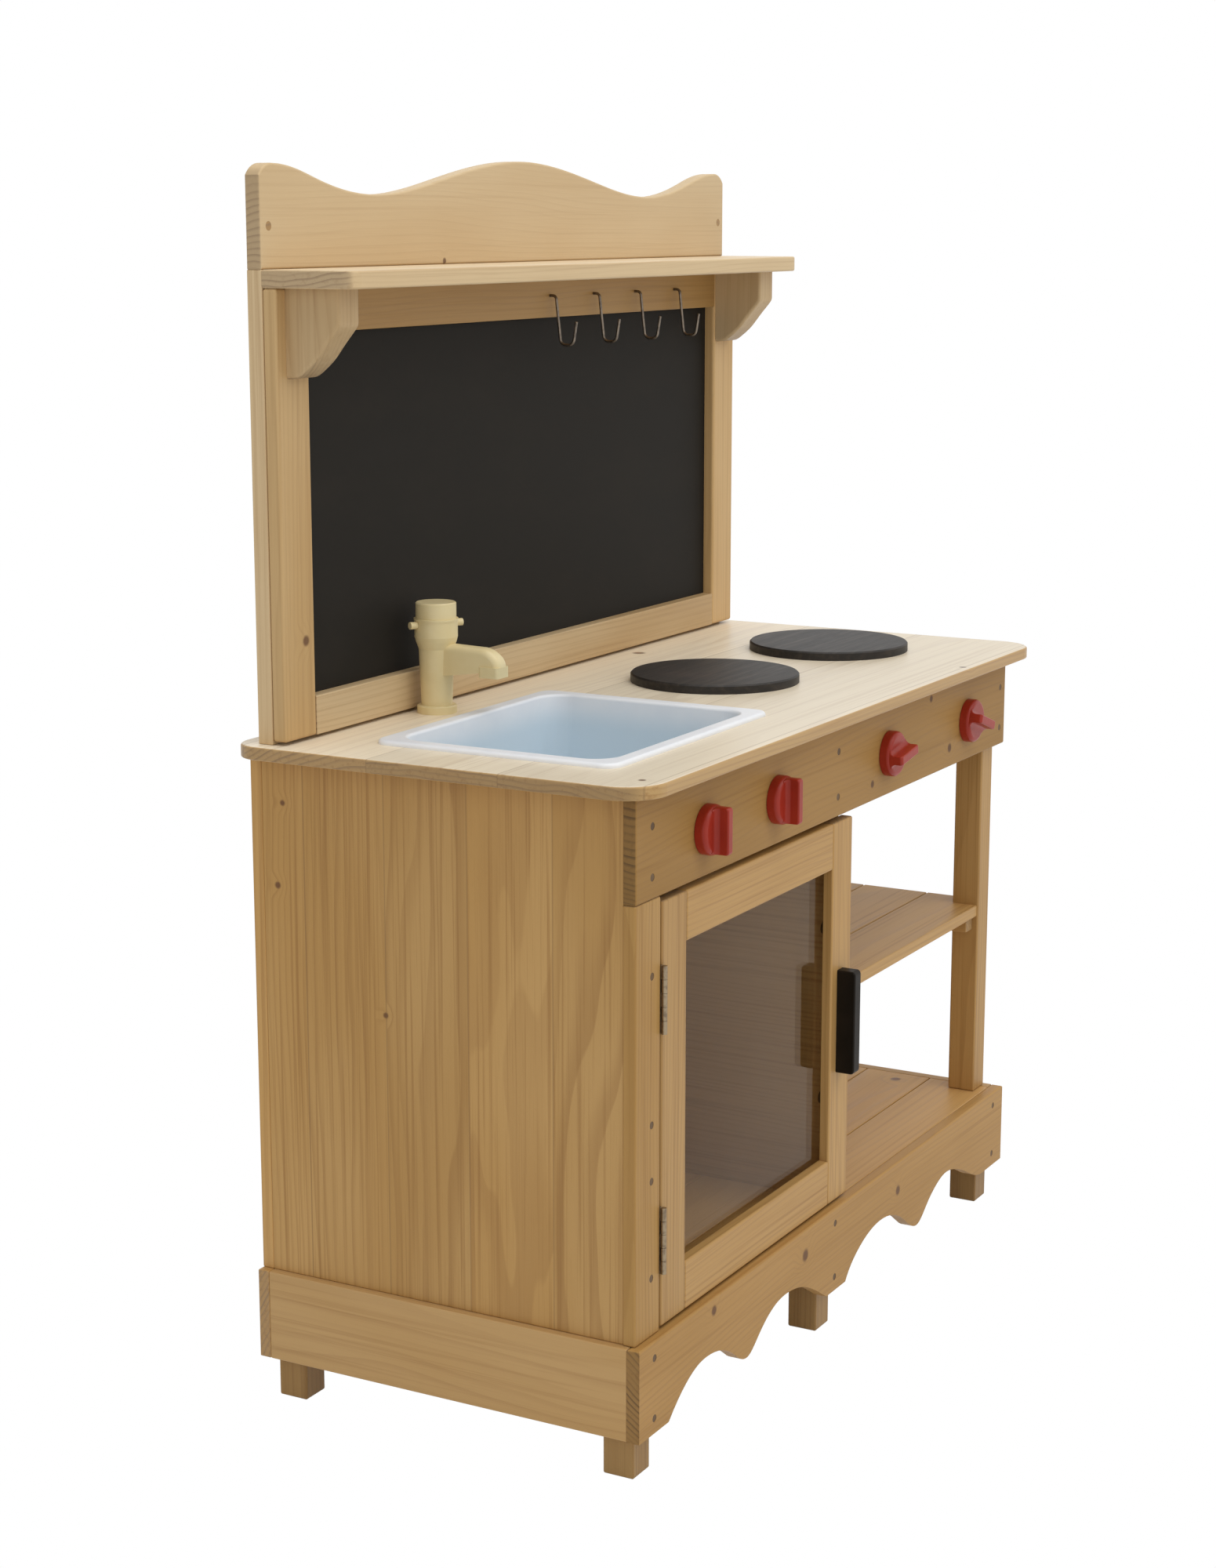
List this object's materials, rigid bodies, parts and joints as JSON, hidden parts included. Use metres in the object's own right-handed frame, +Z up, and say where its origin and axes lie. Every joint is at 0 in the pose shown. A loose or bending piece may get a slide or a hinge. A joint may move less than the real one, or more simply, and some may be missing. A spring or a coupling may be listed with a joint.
{
  "type": "mud kitchen",
  "caption": "Wooden toy mud kitchen with glazed cupboard door, open shelf bay, drop-in basin, push tap, hob discs, turning knobs and a chalkboard back with shelf and hooks",
  "frame": {"origin": "on the floor, under the centre of the bounding box", "axes": "+Z up, the front with door and knobs looks along -Y, +X to the right seen from the front"},
  "size_m": [0.89, 0.412, 1.117],
  "materials": {
    "pine": "oiled softwood, eased edges",
    "black_stain": "black stain, matte",
    "chalk_black": "chalkboard paint, matte",
    "white_plastic": "pale blue-white, satin",
    "cream_plastic": "cream, satin",
    "red_plastic": "red, glossy",
    "black_plastic": "black, satin",
    "clear_acrylic": "clear, polished",
    "zinc_steel": "zinc plated",
    "bronze_wire": "dark bronze wire"
  },
  "bodies": {
    "carcass": {"back_cross_rails": "pine", "back_planks": "pine", "back_plinth": "pine", "back_rail": "pine", "back_uprights": "pine", "carcass_screws": "zinc_steel", "chalkboard": "chalk_black", "crest_board": "pine", "crest_plugs": "pine", "divider": "pine", "door_catch": "black_plastic", "feet": "pine", "floor_boards": "pine", "frame_bottom_rail": "pine", "frame_stiles": "pine", "front_rail": "pine", "front_stile": "pine", "hinge_leaves_frame": "zinc_steel", "hinge_pins": "zinc_steel", "hob_disc_left": "black_stain", "hob_disc_right": "black_stain", "hook_rail": "pine", "hooks": "bronze_wire", "left_plinth": "pine", "left_posts": "pine", "rail_block": "pine", "right_plinth": "pine", "right_posts": "pine", "right_side_rail": "pine", "shelf_boards": "pine", "shelf_brackets": "pine", "shelf_cleats": "pine", "side_panel": "pine", "sink_basin": "white_plastic", "skirt": "pine", "tap_body": "cream_plastic", "tap_nut": "cream_plastic", "tap_pins": "cream_plastic", "tap_spring": "zinc_steel", "upper_shelf": "pine", "worktop": "pine"},
    "door": {"door_stiles": "pine", "door_rails": "pine", "window_pane": "clear_acrylic", "door_handle": "black_plastic", "door_screws": "zinc_steel", "pane_clips": "black_plastic", "hinge_leaves_door": "zinc_steel", "catch_strike": "zinc_steel"},
    "knob_sink_left_body": {"knob_sink_left": "red_plastic", "washer_sink_left": "black_plastic"},
    "knob_sink_right_body": {"knob_sink_right": "red_plastic", "washer_sink_right": "black_plastic"},
    "knob_hob_left_body": {"knob_hob_left": "red_plastic", "washer_hob_left": "black_plastic"},
    "knob_hob_right_body": {"knob_hob_right": "red_plastic", "washer_hob_right": "black_plastic"},
    "tap_button_body": {"tap_button": "cream_plastic"}
  },
  "joints": [
    {"name": "door_hinge", "type": "hinge", "parent": "carcass", "child": "door", "pos_m": [-0.37025, -0.1848, 0.313], "axis": [0, 0, -1], "range_deg": [0, 170]},
    {"name": "knob_sink_left_turn", "type": "hinge", "parent": "carcass", "child": "knob_sink_left_body", "pos_m": [-0.29, -0.182, 0.5515], "axis": [0, -1, 0], "continuous": true},
    {"name": "knob_sink_right_turn", "type": "hinge", "parent": "carcass", "child": "knob_sink_right_body", "pos_m": [-0.149, -0.182, 0.5515], "axis": [0, -1, 0], "continuous": true},
    {"name": "knob_hob_left_turn", "type": "hinge", "parent": "carcass", "child": "knob_hob_left_body", "pos_m": [0.102, -0.182, 0.5515], "axis": [0, -1, 0], "continuous": true},
    {"name": "knob_hob_right_turn", "type": "hinge", "parent": "carcass", "child": "knob_hob_right_body", "pos_m": [0.308, -0.182, 0.5515], "axis": [0, -1, 0], "continuous": true},
    {"name": "tap_press", "type": "slide", "parent": "carcass", "child": "tap_button_body", "axis": [0, 0, -1], "range_m": [0, 0.0024], "stiffness_N_per_m": 300, "springref_m": -0.002, "deforming": ["tap_spring"]}
  ]
}
